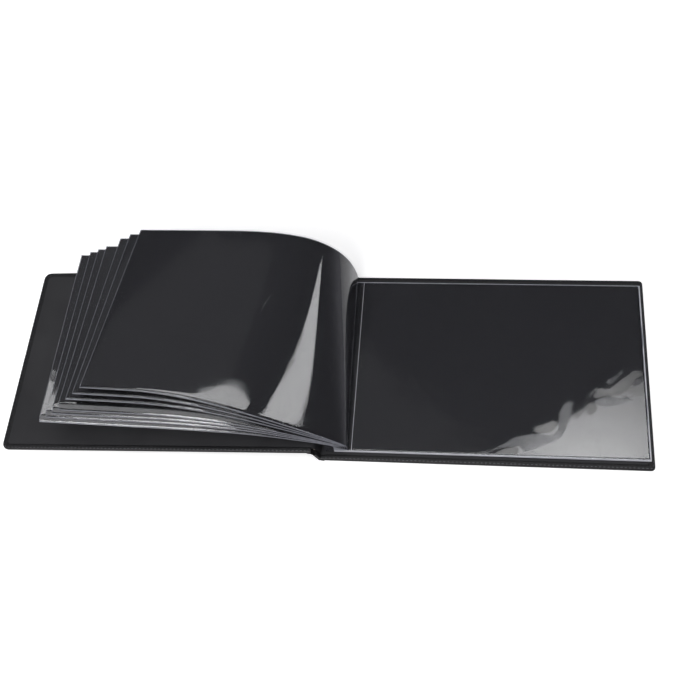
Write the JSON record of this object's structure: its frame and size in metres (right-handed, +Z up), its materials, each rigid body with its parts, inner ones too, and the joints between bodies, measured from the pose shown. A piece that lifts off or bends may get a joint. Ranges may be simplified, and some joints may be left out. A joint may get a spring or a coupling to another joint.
{
  "type": "banknote album",
  "caption": "Open album of black leatherette with clear pocket leaves and black cards, some leaves sprung over to the front cover; it closes flat on a folding spine.",
  "frame": {"origin": "middle of the back cover's underside, on the table", "axes": "+X from the spine to the back cover's free edge, +Y from the near edge to the pocket mouths, +Z up"},
  "size_m": [0.4551, 0.1606, 0.0672],
  "materials": {
    "leatherette": "black PVC leatherette with a fine pressed grain, satin",
    "lining": "black PVC lining sheet, matte, fine grain",
    "board": "grey binder's board, hidden inside the covers",
    "film": "clear PVC film, glossy",
    "card": "smooth black card",
    "laminate": "clear glossy film over black card"
  },
  "bodies": {
    "back_cover": {"back_skin": "leatherette", "back_board": "board", "back_lining": "lining", "binding_bar": "film", "leaf_9_pocket": "film", "leaf_10_pocket": "film"},
    "spine": {"spine_skin": "leatherette", "spine_board": "board", "spine_lining": "lining"},
    "front_cover": {"front_skin": "leatherette", "front_board": "board", "front_lining": "lining"},
    "leaf_1_strip": {"leaf_1_hinge": "laminate"},
    "leaf_1_arch": {"leaf_1_curl": "film", "leaf_1_curl_card": "card"},
    "leaf_1_sheet": {"leaf_1_pocket": "film", "leaf_1_card": "card"},
    "leaf_2_strip": {"leaf_2_hinge": "laminate"},
    "leaf_2_arch": {"leaf_2_curl": "film", "leaf_2_curl_card": "card"},
    "leaf_2_sheet": {"leaf_2_pocket": "film", "leaf_2_card": "card"},
    "leaf_3_strip": {"leaf_3_hinge": "laminate"},
    "leaf_3_arch": {"leaf_3_curl": "film", "leaf_3_curl_card": "card"},
    "leaf_3_sheet": {"leaf_3_pocket": "film", "leaf_3_card": "card"},
    "leaf_4_strip": {"leaf_4_hinge": "laminate"},
    "leaf_4_arch": {"leaf_4_curl": "film", "leaf_4_curl_card": "card"},
    "leaf_4_sheet": {"leaf_4_pocket": "film", "leaf_4_card": "card"},
    "leaf_5_strip": {"leaf_5_hinge": "laminate"},
    "leaf_5_arch": {"leaf_5_curl": "film", "leaf_5_curl_card": "card"},
    "leaf_5_sheet": {"leaf_5_pocket": "film", "leaf_5_card": "card"},
    "leaf_6_strip": {"leaf_6_hinge": "laminate"},
    "leaf_6_arch": {"leaf_6_curl": "film", "leaf_6_curl_card": "card"},
    "leaf_6_sheet": {"leaf_6_pocket": "film", "leaf_6_card": "card"},
    "leaf_7_strip": {"leaf_7_hinge": "laminate"},
    "leaf_7_arch": {"leaf_7_curl": "film", "leaf_7_curl_card": "card"},
    "leaf_7_sheet": {"leaf_7_pocket": "film", "leaf_7_card": "card"},
    "leaf_8_strip": {"leaf_8_hinge": "laminate"},
    "leaf_8_sheet": {"leaf_8_pocket": "film"},
    "card_8": {"leaf_8_card": "card"},
    "card_9": {"leaf_9_card": "card"},
    "card_10": {"leaf_10_card": "card"}
  },
  "joints": [
    {"name": "front_cover_fold", "type": "hinge", "parent": "spine", "child": "front_cover", "pos_m": [-0.1174, 0, 0.01138], "axis": [0, 1, 0], "range_deg": [0, 160.83]},
    {"name": "spine_fold", "type": "hinge", "parent": "back_cover", "child": "spine", "pos_m": [-0.1129, 0, 0.00025], "axis": [0, 1, 0], "range_deg": [0, 22.02]},
    {"name": "leaf_1_root", "type": "hinge", "parent": "back_cover", "child": "leaf_1_strip", "pos_m": [-0.101, 0, 0.00925], "axis": [0, 1, 0], "range_deg": [0, 138.02]},
    {"name": "leaf_1_bend", "type": "hinge", "parent": "leaf_1_strip", "child": "leaf_1_arch", "pos_m": [-0.11363, 0, 0.02063], "axis": [-0.1034, 0.9903, 0.0931], "range_deg": [0, 31.02]},
    {"name": "leaf_1_tip", "type": "hinge", "parent": "leaf_1_arch", "child": "leaf_1_sheet", "pos_m": [-0.15677, 0.00087, 0.02927], "axis": [0.2695, 0.9628, 0.017], "range_deg": [0, 12.02]},
    {"name": "leaf_2_root", "type": "hinge", "parent": "back_cover", "child": "leaf_2_strip", "pos_m": [-0.0996, 0, 0.00855], "axis": [0, 1, 0], "range_deg": [0, 130.88]},
    {"name": "leaf_2_bend", "type": "hinge", "parent": "leaf_2_strip", "child": "leaf_2_arch", "pos_m": [-0.1121, 0, 0.023], "axis": [-0.1029, 0.9876, 0.119], "range_deg": [0, 35.22]},
    {"name": "leaf_2_tip", "type": "hinge", "parent": "leaf_2_arch", "child": "leaf_2_sheet", "pos_m": [-0.1616, 0.00145, 0.03573], "axis": [0.2929, 0.956, 0.0153], "range_deg": [0, 17.27]},
    {"name": "leaf_3_root", "type": "hinge", "parent": "back_cover", "child": "leaf_3_strip", "pos_m": [-0.0982, 0, 0.00785], "axis": [0, 1, 0], "range_deg": [0, 126.12]},
    {"name": "leaf_3_bend", "type": "hinge", "parent": "leaf_3_strip", "child": "leaf_3_arch", "pos_m": [-0.11028, 0, 0.02441], "axis": [-0.0998, 0.9856, 0.1368], "range_deg": [0, 38.02]},
    {"name": "leaf_3_tip", "type": "hinge", "parent": "leaf_3_arch", "child": "leaf_3_sheet", "pos_m": [-0.16384, 0.00198, 0.0403], "axis": [0.31, 0.9506, 0.0132], "range_deg": [0, 20.77]},
    {"name": "leaf_4_root", "type": "hinge", "parent": "back_cover", "child": "leaf_4_strip", "pos_m": [-0.0968, 0, 0.00715], "axis": [0, 1, 0], "range_deg": [0, 121.7]},
    {"name": "leaf_4_bend", "type": "hinge", "parent": "leaf_4_strip", "child": "leaf_4_arch", "pos_m": [-0.10825, 0, 0.0257], "axis": [-0.0948, 0.9836, 0.1536], "range_deg": [0, 40.62]},
    {"name": "leaf_4_tip", "type": "hinge", "parent": "leaf_4_arch", "child": "leaf_4_sheet", "pos_m": [-0.16541, 0.00258, 0.0448], "axis": [0.327, 0.945, 0.0102], "range_deg": [0, 24.02]},
    {"name": "leaf_5_root", "type": "hinge", "parent": "back_cover", "child": "leaf_5_strip", "pos_m": [-0.0954, 0, 0.00645], "axis": [0, 1, 0], "range_deg": [0, 112.86]},
    {"name": "leaf_5_bend", "type": "hinge", "parent": "leaf_5_strip", "child": "leaf_5_arch", "pos_m": [-0.10487, 0, 0.02894], "axis": [-0.0787, 0.9792, 0.1869], "range_deg": [0, 45.82]},
    {"name": "leaf_5_tip", "type": "hinge", "parent": "leaf_5_arch", "child": "leaf_5_sheet", "pos_m": [-0.16867, 0.00416, 0.05532], "axis": [0.3639, 0.9314, 0.0008], "range_deg": [0, 30.52]},
    {"name": "leaf_6_root", "type": "hinge", "parent": "back_cover", "child": "leaf_6_strip", "pos_m": [-0.094, 0, 0.00575], "axis": [0, 1, 0], "range_deg": [0, 108.44]},
    {"name": "leaf_6_bend", "type": "hinge", "parent": "leaf_6_strip", "child": "leaf_6_arch", "pos_m": [-0.10212, 0, 0.03013], "axis": [-0.0676, 0.9769, 0.2029], "range_deg": [0, 48.42]},
    {"name": "leaf_6_tip", "type": "hinge", "parent": "leaf_6_arch", "child": "leaf_6_sheet", "pos_m": [-0.16891, 0.00517, 0.06057], "axis": [0.3836, 0.9235, -0.006], "range_deg": [0, 33.77]},
    {"name": "leaf_7_root", "type": "hinge", "parent": "back_cover", "child": "leaf_7_strip", "pos_m": [-0.0926, 0, 0.00505], "axis": [0, 1, 0], "range_deg": [0, 104.02]},
    {"name": "leaf_7_bend", "type": "hinge", "parent": "leaf_7_strip", "child": "leaf_7_arch", "pos_m": [-0.09913, 0, 0.03125], "axis": [-0.0544, 0.9744, 0.2183], "range_deg": [0, 51.02]},
    {"name": "leaf_7_tip", "type": "hinge", "parent": "leaf_7_arch", "child": "leaf_7_sheet", "pos_m": [-0.16867, 0.00634, 0.06601], "axis": [0.4041, 0.9146, -0.0145], "range_deg": [0, 37.02]},
    {"name": "leaf_8_turn", "type": "hinge", "parent": "back_cover", "child": "leaf_8_strip", "pos_m": [-0.0912, 0, 0.00435], "axis": [0, 1, 0], "range_deg": [-50, 0]},
    {"name": "leaf_8_bend", "type": "hinge", "parent": "leaf_8_strip", "child": "leaf_8_sheet", "pos_m": [-0.0792, 0, 0.00435], "axis": [0, 1, 0], "range_deg": [-50.02, 0]},
    {"name": "card_8_slide", "type": "slide", "parent": "leaf_8_sheet", "child": "card_8", "axis": [0, 1, 0], "range_m": [0, 0.11]},
    {"name": "card_9_slide", "type": "slide", "parent": "back_cover", "child": "card_9", "axis": [0, 1, 0], "range_m": [0, 0.11]},
    {"name": "card_10_slide", "type": "slide", "parent": "back_cover", "child": "card_10", "axis": [0, 1, 0], "range_m": [0, 0.11]}
  ],
  "couplings": [
    {"joint": "spine_fold", "follows": "front_cover_fold", "ratio": 0.13679},
    {"joint": "leaf_1_root", "follows": "front_cover_fold", "ratio": 0.85805},
    {"joint": "leaf_1_bend", "follows": "front_cover_fold", "ratio": 0.19275},
    {"joint": "leaf_1_tip", "follows": "front_cover_fold", "ratio": 0.074613},
    {"joint": "leaf_2_root", "follows": "front_cover_fold", "ratio": 0.81366},
    {"joint": "leaf_2_bend", "follows": "front_cover_fold", "ratio": 0.21887},
    {"joint": "leaf_2_tip", "follows": "front_cover_fold", "ratio": 0.10726},
    {"joint": "leaf_3_root", "follows": "front_cover_fold", "ratio": 0.78406},
    {"joint": "leaf_3_bend", "follows": "front_cover_fold", "ratio": 0.23628},
    {"joint": "leaf_3_tip", "follows": "front_cover_fold", "ratio": 0.12902},
    {"joint": "leaf_4_root", "follows": "front_cover_fold", "ratio": 0.75658},
    {"joint": "leaf_4_bend", "follows": "front_cover_fold", "ratio": 0.25244},
    {"joint": "leaf_4_tip", "follows": "front_cover_fold", "ratio": 0.14923},
    {"joint": "leaf_5_root", "follows": "front_cover_fold", "ratio": 0.70161},
    {"joint": "leaf_5_bend", "follows": "front_cover_fold", "ratio": 0.28477},
    {"joint": "leaf_5_tip", "follows": "front_cover_fold", "ratio": 0.18964},
    {"joint": "leaf_6_root", "follows": "front_cover_fold", "ratio": 0.67413},
    {"joint": "leaf_6_bend", "follows": "front_cover_fold", "ratio": 0.30094},
    {"joint": "leaf_6_tip", "follows": "front_cover_fold", "ratio": 0.20985},
    {"joint": "leaf_7_root", "follows": "front_cover_fold", "ratio": 0.64665},
    {"joint": "leaf_7_bend", "follows": "front_cover_fold", "ratio": 0.31711},
    {"joint": "leaf_7_tip", "follows": "front_cover_fold", "ratio": 0.23006},
    {"joint": "leaf_8_bend", "follows": "leaf_8_turn", "ratio": 1}
  ]
}
